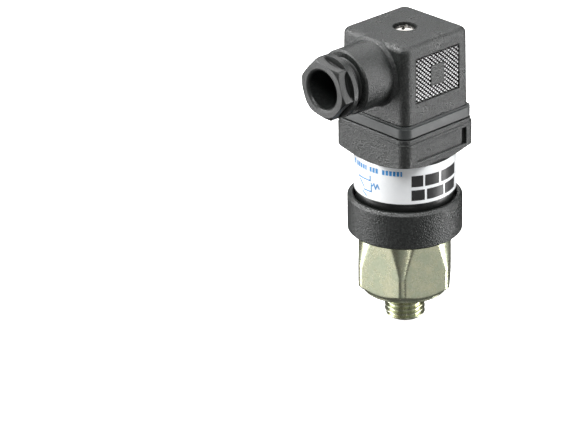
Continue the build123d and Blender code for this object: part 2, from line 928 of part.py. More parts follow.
def screw_terminals(angles):
    """Screw terminals, each with a slot for its contact, a wire hole and a screw hole."""
    contact_slots(
        angles,
        terminal_block_length,
        terminal_block_width,
        terminal_block_radius,
        block_low,
        block_top,
    )
    contact_slots(
        angles,
        pin_width + 2 * hand_gap,
        pin_thickness + 2 * hand_gap,
        pin_radius,
        block_low,
        block_low + socket_depth,
        mode=Mode.SUBTRACT,
    )
    for angle in angles:
        outward = Plane(
            origin=(0, 0, block_top - wire_hole_drop),
            x_dir=(0, 0, 1),
            z_dir=Vector(1, 0, 0).rotate(Axis.Z, angle),
        )
        with BuildSketch(outward.offset(terminal_block_radius)) as wire_hole:
            Circle(wire_hole_dia / 2)
        extrude(wire_hole.sketch, amount=terminal_block_width, both=True, mode=Mode.SUBTRACT)
    with BuildSketch(Plane.XY.offset(block_top)) as screw_holes:
        for angle in angles:
            with PolarLocations(terminal_block_radius, 1, start_angle=angle):
                Circle(clamp_screw_dia / 2 + thread_gap)
    extrude(screw_holes.sketch, amount=-wire_hole_drop, mode=Mode.SUBTRACT)


with BuildPart() as line_terminals:
    screw_terminals(line_angles)
save(line_terminals.part, "line_terminals")

with BuildPart() as earth_terminal:
    screw_terminals((earth_angle,))
save(earth_terminal.part, "earth_terminal")

with BuildPart() as terminal_screws:
    for dia, start, end in (
        (clamp_screw_dia, block_top - clamp_screw_reach, block_top),
        (clamp_screw_head_dia, block_top, block_top + clamp_screw_head),
    ):
        with BuildSketch(Plane.XY.offset(start)):
            with PolarLocations(terminal_block_radius, 4):
                Circle(dia / 2)
        extrude(amount=end - start)
    with BuildSketch(Plane.XY.offset(block_top + clamp_screw_head)):
        with PolarLocations(terminal_block_radius, 4):
            Rectangle(clamp_screw_head_dia, clamp_slot_width)
    extrude(amount=-clamp_slot_depth, mode=Mode.SUBTRACT)
save(terminal_screws.part, "terminal_screws")

with BuildPart() as housing_screw:
    ring(0, screw_dia, base_cavity_top - nut_flange_height, screw_head_low)
    ring(0, screw_head_dia, screw_head_low, screw_head_top)
    chamfer(housing_screw.edges().group_by(Axis.Z)[-1], screw_edge)
    with BuildSketch(Plane.XY.offset(screw_head_top)):
        Rectangle(cross_length, cross_width, rotation=cross_heading)
        Rectangle(cross_width, cross_length, rotation=cross_heading)
    extrude(amount=-cross_depth, taper=cross_taper, mode=Mode.SUBTRACT)
save(housing_screw.part, "housing_screw")

with BuildPart() as screw_seal:
    ring(screw_dia + 2 * hand_gap, screw_head_dia, screw_recess_floor, screw_head_low - seat_gap)
save(screw_seal.part, "screw_seal")

# ==== Cable gland ====

with BuildPart() as gland_seal:
    gland_ring(gland_seal_bore, gland_bore_dia - 2 * hand_gap, gland_seat_reach, seal_end)
save(gland_seal.part, "gland_seal")

with BuildPart() as gland_washer:
    gland_ring(washer_bore, gland_bore_dia - 2 * free_gap, washer_end - washer_thickness, washer_end)
save(gland_washer.part, "gland_washer")

with BuildPart() as gland_nut:
    rim_end = nut_back + nut_rim
    with BuildSketch(gland_front.offset(nut_back)):
        RegularPolygon(nut_width / 2, 6, major_radius=False, rotation=nut_heading)
    extrude(amount=nut_rim + nut_head)
    turn(
        [
            (nut_back, 0),
            (nut_back, nut_corner_dia / 2),
            (nut_front - nut_front_chamfer, nut_corner_dia / 2),
            (nut_front, nut_front_dia / 2),
            (nut_front, 0),
        ],
        plane=gland_section,
        axis=gland_axis,
        mode=Mode.INTERSECT,
    )
    gland_ring(0, nut_rim_dia, nut_back, rim_end)
    nut_root = nut_thread_dia / 2 - thread_depth * gland_pitch
    nut_ridges = int((nut_grip + nut_gap - 2 * nut_thread_start) / gland_pitch)
    outline = ridges(nut_thread_dia, gland_pitch, nut_end + nut_thread_start, nut_ridges, 1)
    turn(
        [(nut_end, 0), (nut_end, nut_root)]
        + [(place, radius) for radius, place in outline]
        + [(nut_back, nut_root), (nut_back, 0)],
        plane=gland_section,
        axis=gland_axis,
    )
    gland_ring(0, nut_bore_dia, nut_end, nut_front, mode=Mode.SUBTRACT)
    fillet(
        gland_nut.edges()
        .filter_by(GeomType.CIRCLE)
        .filter_by(lambda edge: abs(edge.radius - nut_bore_dia / 2) < same_size)
        .sort_by(Axis.Y)[0],
        nut_lip,
    )
save(gland_nut.part, "gland_nut")
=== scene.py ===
"""Visual model of a mechanical pressure switch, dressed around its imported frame.

The switch stands on its threaded stud, +Z up its axis, with the cable gland along -Y. Sizes in the classes
are in millimetres and angles in degrees; meshes are written in metres. Pieces that need finer shapes than
the frame holds, such as the helical threads, are surfaces worked out with numpy on a grid of two parameters.
"""

import logging
from dataclasses import dataclass, field
from enum import Enum
from typing import Callable

import bpy
import numpy as np
from mathutils import Matrix, Vector


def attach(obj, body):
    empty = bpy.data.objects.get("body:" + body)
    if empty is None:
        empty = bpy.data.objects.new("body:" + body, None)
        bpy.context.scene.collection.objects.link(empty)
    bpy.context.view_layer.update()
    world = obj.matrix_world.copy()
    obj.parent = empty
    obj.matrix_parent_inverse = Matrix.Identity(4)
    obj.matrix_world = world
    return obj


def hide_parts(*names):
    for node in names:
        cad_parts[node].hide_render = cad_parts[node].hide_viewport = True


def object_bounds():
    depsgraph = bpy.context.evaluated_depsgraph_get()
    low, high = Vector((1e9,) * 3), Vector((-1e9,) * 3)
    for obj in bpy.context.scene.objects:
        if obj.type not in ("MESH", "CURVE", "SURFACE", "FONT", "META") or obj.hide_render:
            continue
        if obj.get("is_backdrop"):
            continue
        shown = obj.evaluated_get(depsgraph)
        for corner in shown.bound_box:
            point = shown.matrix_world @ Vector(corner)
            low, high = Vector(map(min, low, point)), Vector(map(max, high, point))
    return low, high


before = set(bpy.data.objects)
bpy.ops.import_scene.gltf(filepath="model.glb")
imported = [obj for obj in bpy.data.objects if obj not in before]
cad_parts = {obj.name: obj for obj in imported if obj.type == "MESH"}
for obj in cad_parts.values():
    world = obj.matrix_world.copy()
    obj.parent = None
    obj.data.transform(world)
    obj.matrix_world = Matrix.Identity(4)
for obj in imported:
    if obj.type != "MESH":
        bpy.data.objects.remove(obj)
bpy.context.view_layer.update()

MM = 0.001
TURN = 2.0 * np.pi
THREAD_DEPTH = 0.6134  # share of the pitch, from crest to root
THREAD_CREST = 1.0 / 16.0  # half the flat crest, as a share of the pitch
THREAD_EASE = 0.05  # how far a thread's creases are rounded, in millimetres
log = logging.getLogger("pressure_switch")


# ---------------------------------------------------------------- colours and shader nodes


def srgb(code: str) -> tuple[float, float, float, float]:
    """Turn an sRGB hex colour to the linear values that a shader takes.

    Args:
        code: six hex digits after a hash.

    Returns:
        Linear red, green and blue, with alpha 1.
    """
    channels = np.array([int(code[i : i + 2], 16) for i in (1, 3, 5)]) / 255.0
    linear = np.where(channels <= 0.04045, channels / 12.92, ((channels + 0.055) / 1.055) ** 2.4)
    return (*(float(value) for value in linear), 1.0)


def add_node(
    tree: bpy.types.NodeTree, kind: str, settings: dict, links: dict | None = None
) -> bpy.types.Node:
    """Add one node with its settings and its incoming links.

    Args:
        tree: the material's node tree.
        kind: the node's type without its ShaderNode prefix.
        settings: a socket's name or number, or a property's name, with its value.
        links: a socket's name or number, with the output that feeds it.

    Returns:
        The new node.
    """
    node = tree.nodes.new("ShaderNode" + kind)
    for name, value in settings.items():
        if isinstance(name, int) or (name in node.inputs and not hasattr(node, name)):
            node.inputs[name].default_value = value
        else:
            setattr(node, name, value)
    for name, source in (links or {}).items():
        tree.links.new(source, node.inputs[name])
    return node


class Lay(Enum):
    """Which way a surface's fine marks run."""

    GRAINED = "grained"
    TURNED = "turned"
    DRAWN = "drawn"


@dataclass(frozen=True)
class Finish:
    """A finish: the material, how its surface was made, and the marks that this leaves.

    The base colour drifts between two shades over drift_mm, roughness drifts with it, fine marks of grain_mm
    are grain_depth_mm deep, and edges within edge_mm are worn towards the edge shade.
    """

    name: str
    shade: str
    second_shade: str
    edge_shade: str
    roughness: float
    metallic: float = 0.0
    ior: float = 1.5
    lay: Lay = Lay.GRAINED
    grain_mm: float = 0.5
    grain_depth_mm: float = 0.02
    drift_mm: float = 6.0
    drift: float = 0.5
    roughness_drift: float = 0.06
    edge_mm: float = 0.25
    edge_wear: float = 0.5
    speckle: float = 0.0
    coat: float = 0.0
    coat_roughness: float = 0.2
    glow: float = 0.0

    def material(self) -> bpy.types.Material:
        """Build the node material of this finish, or return it if it is there already.

        Returns:
            The material, named for the finish.
        """
        made = bpy.data.materials.get(self.name)
        if made:
            return made
        made = bpy.data.materials.new(self.name)
        made.use_nodes = True
        tree = made.node_tree
        tree.nodes.clear()
        place = add_node(tree, "TexCoord", {}).outputs["Object"]
        stretch = {Lay.GRAINED: (1, 1, 1), Lay.TURNED: (0.02, 0.02, 1), Lay.DRAWN: (1, 1, 0.02)}[self.lay]
        along = add_node(tree, "Mapping", {"Scale": stretch}, {"Vector": place}).outputs["Vector"]
        grain = add_node(
            tree,
            "TexNoise",
            {"Scale": 1.0 / (self.grain_mm * MM), "Detail": 3.0, "Roughness": 0.55},
            {"Vector": along},
        ).outputs["Fac"]
        drift = add_node(
            tree,
            "TexNoise",
            {"Scale": 1.0 / (self.drift_mm * MM), "Detail": 4.0, "Roughness": 0.6},
            {"Vector": place},
        ).outputs["Fac"]
        soft = add_node(tree, "Bevel", {"samples": 6, "Radius": self.edge_mm * MM}).outputs["Normal"]
        flat = add_node(tree, "NewGeometry", {}).outputs["Normal"]
        level = add_node(
            tree, "VectorMath", {"operation": "DOT_PRODUCT"}, {0: soft, 1: flat}
        ).outputs["Value"]
        edge = add_node(
            tree,
            "MapRange",
            {"From Min": 1.0, "From Max": 0.82, "To Min": 0.0, "To Max": self.edge_wear, "clamp": True},
            {"Value": level},
        ).outputs["Result"]
        contrast = add_node(
            tree,
            "MapRange",
            {"From Min": 0.38, "From Max": 0.62, "To Min": 0.0, "To Max": self.drift, "clamp": True},
            {"Value": drift},
        ).outputs["Result"]
        body = add_node(
            tree,
            "Mix",
            {"data_type": "RGBA", 6: srgb(self.shade), 7: srgb(self.second_shade)},
            {0: contrast},
        ).outputs[2]
        pits = add_node(
            tree,
            "MapRange",
            {"From Min": 0.42, "From Max": 0.66, "To Min": 0.0, "To Max": self.speckle, "clamp": True},
            {"Value": grain},
        ).outputs["Result"]
        wear = add_node(tree, "Math", {"operation": "MAXIMUM"}, {0: edge, 1: pits}).outputs["Value"]
        colour = add_node(
            tree,
            "Mix",
            {"data_type": "RGBA", 7: srgb(self.edge_shade)},
            {0: wear, 6: body},
        ).outputs[2]
        rough = add_node(
            tree,
            "MapRange",
            {
                "From Min": 0.3,
                "From Max": 0.7,
                "To Min": self.roughness - self.roughness_drift,
                "To Max": self.roughness + self.roughness_drift,
            },
            {"Value": drift},
        ).outputs["Result"]
        bump = add_node(
            tree,
            "Bump",
            {"Strength": 1.0, "Distance": self.grain_depth_mm * MM},
            {"Height": grain, "Normal": soft},
        ).outputs["Normal"]
        shader = add_node(
            tree,
            "BsdfPrincipled",
            {
                "Metallic": self.metallic,
                "IOR": self.ior,
                "Coat Weight": self.coat,
                "Coat Roughness": self.coat_roughness,
                "Emission Color": srgb("#ffffff"),
                "Emission Strength": self.glow,
            },
            {"Base Color": colour, "Roughness": rough, "Normal": bump},
        ).outputs["BSDF"]
        add_node(tree, "OutputMaterial", {}, {"Surface": shader})
        return made


# Glass-filled polyamide from a spark-eroded mould: near black, matt, with a grain that catches grey light.
# The grain is about half a millimetre from pit to pit, glossy between the pits, so it sparkles.
GRAINED_POLYAMIDE = Finish(
    "black_grained_polyamide", "#0e100f", "#141615", "#4a4e4c", 0.31, ior=1.58,
    grain_mm=0.45, grain_depth_mm=0.24, speckle=0.40, edge_wear=0.35,
)
# The same plastic from a blasted mould: finer, with less relief.
SATIN_POLYAMIDE = Finish(
    "black_satin_polyamide", "#0e100f", "#141615", "#474b49", 0.36, ior=1.58,
    grain_mm=0.30, grain_depth_mm=0.008, speckle=0.08, edge_wear=0.45,
)
# The same plastic from a polished part of the mould: the points of the grips. Its colour is darker than the
# housing's and has no light speckle, a painted shade in the grips' pits; the gloss is real.
POLISHED_POLYAMIDE_PAINTED_SHADE = Finish(
    "black_polished_polyamide_painted_shade", "#0b0c0c", "#101111", "#303332", 0.16, ior=1.65,
    grain_mm=0.30, grain_depth_mm=0.002, edge_wear=0.2, edge_mm=0.04,
)
# The gland nut's plastic: softer in gloss than the housing's, with a shallow fine grain.
NUT_POLYAMIDE = Finish(
    "black_gland_polyamide", "#0c0e0d", "#131514", "#474b49", 0.42, ior=1.5,
    grain_mm=0.40, grain_depth_mm=0.06, speckle=0.2, edge_wear=0.45, edge_mm=0.15,
)
# Elastomer of the profile gasket: dusty dark grey with a skin that has no gloss.
PROFILE_RUBBER = Finish(
    "grey_profile_rubber", "#303333", "#3a3d3d", "#5d6160", 0.45,
    grain_mm=0.6, grain_depth_mm=0.006, speckle=0.05, edge_wear=0.3,
)
# Moulded seal rubber: deep black and dull.
NITRILE = Finish(
    "black_nitrile_rubber", "#151515", "#1d1d1c", "#333333", 0.55, grain_mm=0.4, grain_depth_mm=0.006,
)
# Bright zinc with a thin yellow-green passivation that drifts in hue over the bar, finely pitted.
ZINC_PLATE = Finish(
    "passivated_zinc_plate", "#cbcbab", "#b3bea3", "#f0eee2", 0.27, metallic=1.0,
    grain_mm=0.45, grain_depth_mm=0.016, drift_mm=4.0, drift=0.7, roughness_drift=0.05,
    edge_wear=0.7, edge_mm=0.3, speckle=0.25,
)
# Plain free-cutting steel off the lathe, with its feed marks round the axis.
TURNED_STEEL = Finish(
    "turned_steel", "#9a9b9c", "#8a8b8d", "#c8c8c8", 0.3, metallic=1.0, lay=Lay.TURNED,
    grain_mm=0.12, grain_depth_mm=0.003,
)
# Patented wire: darker, drawn smooth.
SPRING_WIRE = Finish(
    "drawn_spring_wire", "#6f7072", "#5d5e60", "#a5a5a5", 0.32, metallic=1.0,
    grain_mm=0.2, grain_depth_mm=0.002,
)
# Nickel plate over brass or steel: bright and a little warm.
NICKEL_PLATE = Finish(
    "bright_nickel_plate", "#e2dfd8", "#d2cfc8", "#faf9f6", 0.14, metallic=1.0,
    grain_mm=0.25, grain_depth_mm=0.002, roughness_drift=0.05, edge_mm=0.12,
)
# The central screw: the same plating in darker shades, a painted shade that keeps its domed head from reading
# white under the top panel light.
PAINTED_SHADE_NICKEL = Finish(
    "painted_shade_nickel_plate", "#8c8a86", "#7a7874", "#d8d6d0", 0.17, metallic=1.0,
    grain_mm=0.25, grain_depth_mm=0.004, roughness_drift=0.05, edge_mm=0.10,
)
# Brass off the lathe.
TURNED_BRASS = Finish(
    "turned_brass", "#c9a55a", "#b8934b", "#e8cf8e", 0.26, metallic=1.0, lay=Lay.TURNED,
    grain_mm=0.12, grain_depth_mm=0.003,
)
# Tinned contact strip: pale, rolled along its length.
TIN_PLATE = Finish(
    "tin_plated_brass", "#c6c2b6", "#b4b0a2", "#e6e3da", 0.3, metallic=1.0, lay=Lay.DRAWN,
    grain_mm=0.15, grain_depth_mm=0.002,
)
# The terminal block's plastic, and the microswitch's red-brown phenolic case and ivory button.
INSERT_POLYAMIDE = Finish(
    "insert_polyamide", "#2a2c2b", "#333534", "#585a59", 0.45, grain_mm=0.4, grain_depth_mm=0.01,
)
SWITCH_PHENOLIC = Finish(
    "switch_phenolic", "#6b1f1a", "#5a1a16", "#8f4a42", 0.35, grain_mm=0.3, grain_depth_mm=0.006,
)
BUTTON_ACETAL = Finish(
    "ivory_acetal", "#d9d4c0", "#cec8b2", "#eeeadc", 0.35, grain_mm=0.3, grain_depth_mm=0.003,
)
# Printed polyester film: white, lightly glossy, with the faint waviness of a film on a moulding.
LABEL_FILM = Finish(
    "white_label_film", "#eef0f1", "#e4e7e9", "#f6f6f6", 0.34, grain_mm=2.5, grain_depth_mm=0.01,
    drift=0.6, roughness_drift=0.03, edge_wear=0.1, coat=0.3,
)
# Screen-printed inks, slightly broken over the film.
BLUE_INK = Finish(
    "blue_label_ink", "#2f7fc0", "#4a90ca", "#7fb3dd", 0.4, grain_mm=0.3, grain_depth_mm=0.002, speckle=0.25,
)
BLACK_INK = Finish(
    "black_label_ink", "#1a1a1b", "#28292a", "#3d3d3e", 0.4, grain_mm=0.3, grain_depth_mm=0.002, speckle=0.15,
)
# The table: matt, near white, with a little glow of its own so that it reads white in soft light.
PALE_FLOOR = Finish(
    "pale_matt_floor", "#fbfbfb", "#f6f6f6", "#ffffff", 0.9, grain_mm=2.0, grain_depth_mm=0.0, drift_mm=400.0,
    edge_wear=0.0, glow=0.8,
)


# ---------------------------------------------------------------- meshes from numpy surfaces


def new_piece(
    name: str, points: np.ndarray, faces: list, finish: Finish, smooth: bool = True
) -> bpy.types.Object:
    """Make an object from points in millimetres, with its faces turned outwards.

    The signed volume, the sum of each face fan's tetrahedra with the origin, is negative when the faces
    point inwards, and then every face is reversed.

    Args:
        name: the piece's name.
        points: an array of n points by three.
        faces: tuples of point numbers.
        finish: what it is made of.
        smooth: whether its shading is smooth.

    Returns:
        The object, at the origin.
    """
    volume = 0.0
    sizes = np.array([len(face) for face in faces])
    for size in np.unique(sizes):
        group = np.array([face for face in faces if len(face) == size])
        for corner in range(1, size - 1):
            a, b, c = points[group[:, 0]], points[group[:, corner]], points[group[:, corner + 1]]
            volume += float(np.einsum("ij,ij->i", a, np.cross(b, c)).sum())
    if volume < 0:
        faces = [tuple(reversed(face)) for face in faces]
    mesh = bpy.data.meshes.new(name)
    mesh.from_pydata((points * MM).tolist(), [], faces)
    mesh.validate()
    mesh.polygons.foreach_set("use_smooth", np.full(len(mesh.polygons), smooth))
    piece = bpy.data.objects.new(name, mesh)
    bpy.context.scene.collection.objects.link(piece)
    mesh.materials.append(finish.material())
    return piece


def grid_faces(rows: int, columns: int, close_rows: bool, close_columns: bool) -> np.ndarray:
    """Number the four corners of each cell of a grid of points.

    Args:
        rows: number of rows of points.
        columns: number of points in a row.
        close_rows: whether the last row joins the first.
        close_columns: whether the last column joins the first.

    Returns:
        An array of cells by four point numbers.
    """
    row = np.arange(rows if close_rows else rows - 1)
    column = np.arange(columns if close_columns else columns - 1)
    r0, c0 = np.meshgrid(row, column, indexing="ij")
    r1, c1 = (r0 + 1) % rows, (c0 + 1) % columns
    cells = np.stack([r0 * columns + c0, r0 * columns + c1, r1 * columns + c1, r1 * columns + c0], axis=-1)
    return cells.reshape(-1, 4)


def eased_path(corners: list, ease: float, spacing: float) -> np.ndarray:
    """Sample a closed outline with a small round at each corner.

    Each corner is replaced by a quadratic curve between points that lie ease away along its two sides,
    (1-t)^2 p + 2t(1-t) corner + t^2 q, and each straight between two such curves is divided evenly.

    Args:
        corners: (radius, place) pairs round the outline.
        ease: how far from the corner its round starts, limited to a third of the side.
        spacing: the longest step along a straight.

    Returns:
        An array of sampled points by two.
    """
    knots = np.array(corners, dtype=float)
    before, after = np.roll(knots, 1, axis=0), np.roll(knots, -1, axis=0)
    back = np.linalg.norm(before - knots, axis=1, keepdims=True)
    ahead = np.linalg.norm(after - knots, axis=1, keepdims=True)
    start = knots + (before - knots) / back * np.minimum(ease, back / 3)
    end = knots + (after - knots) / ahead * np.minimum(ease, ahead / 3)
    t = np.linspace(0.0, 1.0, 4)[:, None]
    runs = []
    for index, knot in enumerate(knots):
        runs.append((1 - t) ** 2 * start[index] + 2 * t * (1 - t) * knot + t**2 * end[index])
        far = start[(index + 1) % len(knots)]
        count = max(1, int(np.ceil(np.linalg.norm(far - end[index]) / spacing)))
        steps = np.linspace(0.0, 1.0, count + 1)[1:-1, None]
        runs.append(end[index] * (1 - steps) + far * steps)
    return np.concatenate(runs)


def soft_lower(first: np.ndarray, second: np.ndarray, blend: float) -> np.ndarray:
    """Return the lower of two heights with their crease eased: (a + b - sqrt((a-b)^2 + blend^2)) / 2."""
    return (first + second - np.sqrt((first - second) ** 2 + blend**2)) / 2


def hexagon(angles: np.ndarray, width: float, corner: float) -> np.ndarray:
    """Radius of a hexagon at each angle: half its width over the cosine of the angle from the flat's middle.

    Args:
        angles: angles in radians.
        width: size across flats.
        corner: heading of a corner, in degrees.

    Returns:
        The radius at each angle.
    """
    sixth = TURN / 6
    from_flat = np.mod(angles - np.radians(corner), sixth) - sixth / 2
    return width / 2 / np.cos(from_flat)


def helix_thread(angles: np.ndarray, places: np.ndarray, dia: float, pitch: float, hand: float) -> np.ndarray:
    """Radius of a metric thread's surface at each angle and place along its axis.

    The distance from the nearest crest, measured along the axis after the helix's lead is taken off, is
    turned to a fall of the flank at 60 degrees between faces, and the fall stops at the root.

    Args:
        angles: angles in radians.
        places: places along the axis, broadcast against the angles.
        dia: major diameter.
        pitch: lead of one turn.
        hand: +1 where the place rises with the angle, -1 where it falls.

    Returns:
        The radius at each pair.
    """
    phase = np.mod(places / pitch - hand * angles / TURN, 1.0)
    from_crest = np.abs(phase - 0.5) * pitch
    fall = np.clip((from_crest - THREAD_CREST * pitch) * np.sqrt(3.0), 0.0, THREAD_DEPTH * pitch)
    return dia / 2 - fall


@dataclass(frozen=True)
class Spindle:
    """An axis that turned surfaces stand on: where it is and which way its places run."""

    origin: tuple[float, float, float]
    out: tuple[float, float, float]
    first: tuple[float, float, float]
    second: tuple[float, float, float]

    def points(self, radius: np.ndarray, angles: np.ndarray, places: np.ndarray) -> np.ndarray:
        """Place points at origin + place out + radius (cos angle first + sin angle second).

        Args:
            radius: radius of each point.
            angles: angle of each point, in radians.
            places: distance of each point along the axis.

        Returns:
            An array of points by three.
        """
        radius, angles, places = np.broadcast_arrays(radius, angles, places)
        spread = (
            places[..., None] * np.array(self.out)
            + (radius * np.cos(angles))[..., None] * np.array(self.first)
            + (radius * np.sin(angles))[..., None] * np.array(self.second)
        )
        return spread + np.array(self.origin)


UPRIGHT = Spindle((0, 0, 0), (0, 0, 1), (1, 0, 0), (0, 1, 0))


def turned_piece(
    name: str, path: np.ndarray, spindle: Spindle, turns: int, shape: Callable, finish: Finish
) -> bpy.types.Object:
    """Turn a closed outline about a spindle, with its radius reshaped at each angle.

    Row i, column j stands at angle 2 pi j / turns and at the outline's place, with radius
    shape(radius, angle, place). Both ways round the grid are closed, so the surface has no pole or seam.

    Args:
        name: the piece's name.
        path: (radius, place) samples of the outline.
        spindle: the axis.
        turns: number of columns.
        shape: takes radius, angle and place grids, and returns the radius grid.
        finish: what it is made of.

    Returns:
        The object.
    """
    angles = np.arange(turns) * TURN / turns
    radius, places = path[:, :1], path[:, 1:]
    points = spindle.points(shape(radius, angles[None, :], places), angles[None, :], places)
    faces = grid_faces(len(path), turns, True, True)
    return new_piece(name, points.reshape(-1, 3), [tuple(face) for face in faces.tolist()], finish)


def closed_sheet(front: np.ndarray, back: np.ndarray) -> tuple[np.ndarray, list]:
    """Close a grid of points with a wall down to a flat back.

    Args:
        front: rows by columns by three.
        back: the offset from each border point of the front to the back's border.

    Returns:
        The points and faces of the closed shape.
    """
    rows, columns = front.shape[:2]
    points = front.reshape(-1, 3)
    top, bottom = np.arange(columns), (rows - 1) * columns + np.arange(columns)
    left, right = np.arange(rows) * columns, np.arange(rows) * columns + columns - 1
    border = np.concatenate([top[:-1], right[:-1], bottom[:0:-1], left[:0:-1]])
    behind = points[border] + back
    count = len(border)
    numbers = len(points) + np.arange(count)
    walls = np.stack([border, numbers, np.roll(numbers, -1), np.roll(border, -1)], axis=-1)
    cells = grid_faces(rows, columns, False, False)[:, ::-1]
    faces = [tuple(face) for face in cells.tolist()] + [tuple(face) for face in walls.tolist()]
    faces.append(tuple(numbers[::-1].tolist()))
    return np.concatenate([points, behind]), faces


# ---------------------------------------------------------------- sub-assemblies


class SubAssembly:
    """Shared ways of a sub-assembly: dressing frame nodes, and riding new pieces on their bodies."""

    nodes: dict[str, Finish] = {}

    def dress(self) -> None:
        """Give each of the sub-assembly's frame nodes its finish."""
        for name, finish in self.nodes.items():
            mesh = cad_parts[name].data
            mesh.materials.clear()
            mesh.materials.append(finish.material())
            log.info("dressed %s in %s", name, finish.name)

    @staticmethod
    def ride(piece: bpy.types.Object, body: str, slot: str, replaced: str = "") -> None:
        """Set a new piece on its body, in place of a frame node if one is named.

        Args:
            piece: the new piece.
            body: the body that it moves with.
            slot: the record's material slot; not used.
            replaced: the frame node that it stands for.
        """
        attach(piece, body)
        if replaced:
            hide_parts(replaced)
        log.info("built %s, %d faces", piece.name, len(piece.data.polygons))


@dataclass
class PortBody(SubAssembly):
    """The turned hexagon with its threaded stud, and the pressure cell inside it."""

    hex_width: float = 27.0
    corner_dia: float = 30.2
    corner_heading: float = 11.8
    seat_dia: float = 25.0
    seat_height: float = 0.8
    base_chamfer: float = 2.3
    base_rise: float = 2.0
    cone_start: float = 9.5
    cone_top_dia: float = 27.7
    cone_top: float = 19.3
    shoulder: float = 19.6
    spigot_dia: float = 31.4
    top: float = 25.2
    stud_dia: float = 12.0
    stud_pitch: float = 1.5
    stud_length: float = 9.2
    stud_neck: float = 1.1
    lead_in: float = 0.9
    passage_dia: float = 4.0
    chamber: tuple[float, float] = (17.0, 3.2)
    cup: tuple[float, float] = (22.0, 4.6)
    upper_cup: tuple[float, float] = (23.0, 18.78)
    corner_ease: float = 0.18
    flat_ease: float = 0.25
    step: float = 0.6
    thread_margin: float = 0.2
    rows_per_pitch: int = 16
    columns: int = 372

    def __post_init__(self) -> None:
        """Name the finishes of the frame nodes."""
        steel = ("diaphragm_ring", "adjuster_plate", "plunger", "spring_plate")
        self.nodes = {name: TURNED_STEEL for name in steel}
        self.nodes |= {"diaphragm": NITRILE, "range_spring": SPRING_WIRE, "adjusting_screw": TURNED_BRASS}
        self.nodes |= {"port_body": ZINC_PLATE}

    def outline(self) -> list:
        """Return the outline's corners, from the passage's lower mouth outwards and back down the cup.

        Returns:
            The (radius, height) corners.
        """
        stud, corner = self.stud_dia / 2, self.corner_dia / 2
        return [
            (self.passage_dia / 2, -self.stud_length),
            (stud - self.lead_in, -self.stud_length),
            (stud, -self.stud_length + self.lead_in),
            (stud, 0.0),
            (self.seat_dia / 2, 0.0),
            (self.seat_dia / 2, self.seat_height),
            (corner - self.base_chamfer, self.seat_height),
            (corner, self.seat_height + self.base_rise),
            (corner, self.cone_start),
            (self.cone_top_dia / 2, self.cone_top),
            (self.cone_top_dia / 2, self.shoulder),
            (self.spigot_dia / 2, self.shoulder),
            (self.spigot_dia / 2, self.top),
            (self.upper_cup[0] / 2, self.top),
            (self.upper_cup[0] / 2, self.upper_cup[1]),
            (self.cup[0] / 2, self.upper_cup[1]),
            (self.cup[0] / 2, self.cup[1]),
            (self.chamber[0] / 2, self.cup[1]),
            (self.chamber[0] / 2, self.chamber[1]),
            (self.passage_dia / 2, self.chamber[1]),
        ]

    def reshape(self, radius: np.ndarray, angles: np.ndarray, places: np.ndarray) -> np.ndarray:
        """Cut the hexagon's flats and the stud's helix into the turned outline.

        Between the seat and the shoulder the radius is the lower of the outline's and the hexagon's. Below
        the seat, wherever the outline is outside the thread's root, it is the lower of the outline's and the
        thread's, and the groove fades into a plain neck under the seat.

        Args:
            radius: the outline's radius.
            angles: angle grid, in radians.
            places: height grid.

        Returns:
            The radius grid.
        """
        flats = soft_lower(radius, hexagon(angles, self.hex_width, self.corner_heading), self.flat_ease)
        hexed = (places > self.seat_height) & (places < self.shoulder) & (radius > self.hex_width / 2 - 0.2)
        thread = helix_thread(angles, places, self.stud_dia, self.stud_pitch, 1.0)
        root = self.stud_dia / 2 - THREAD_DEPTH * self.stud_pitch
        neck = np.clip((-places - self.stud_neck * 0.3) / (self.stud_neck * 0.5), 0.0, 1.0)
        groove = soft_lower(radius, thread, THREAD_EASE) * neck + (1 - neck) * radius
        threaded = (places < 0) & (radius > root)
        return np.where(threaded, groove, np.where(hexed, flats, radius + 0 * angles))

    def build(self) -> None:
        """Build the body as one turned surface in place of its frame node."""
        path = self.fine_path()
        piece = turned_piece("port_shell", path, UPRIGHT, self.columns, self.reshape, ZINC_PLATE)
        self.ride(piece, "base", "zinc_plated_steel", "port_body")

    def fine_path(self) -> np.ndarray:
        """Sample the outline, closely along the stud and in the usual steps elsewhere.

        Returns:
            An array of (radius, height) samples.
        """
        path = eased_path(self.outline(), self.corner_ease, self.step)
        low, high = -self.stud_length + self.lead_in + self.thread_margin, -self.thread_margin
        on_stud = (np.abs(path[:, 0] - self.stud_dia / 2) < 1e-6) & (path[:, 1] > low) & (path[:, 1] < high)
        first = int(np.argmax(on_stud))
        rows = np.arange(low, high, self.stud_pitch / self.rows_per_pitch)
        close = np.stack([np.full(len(rows), self.stud_dia / 2), rows], axis=-1)
        return np.concatenate([path[:first], close, path[first + int(on_stud.sum()) :]])


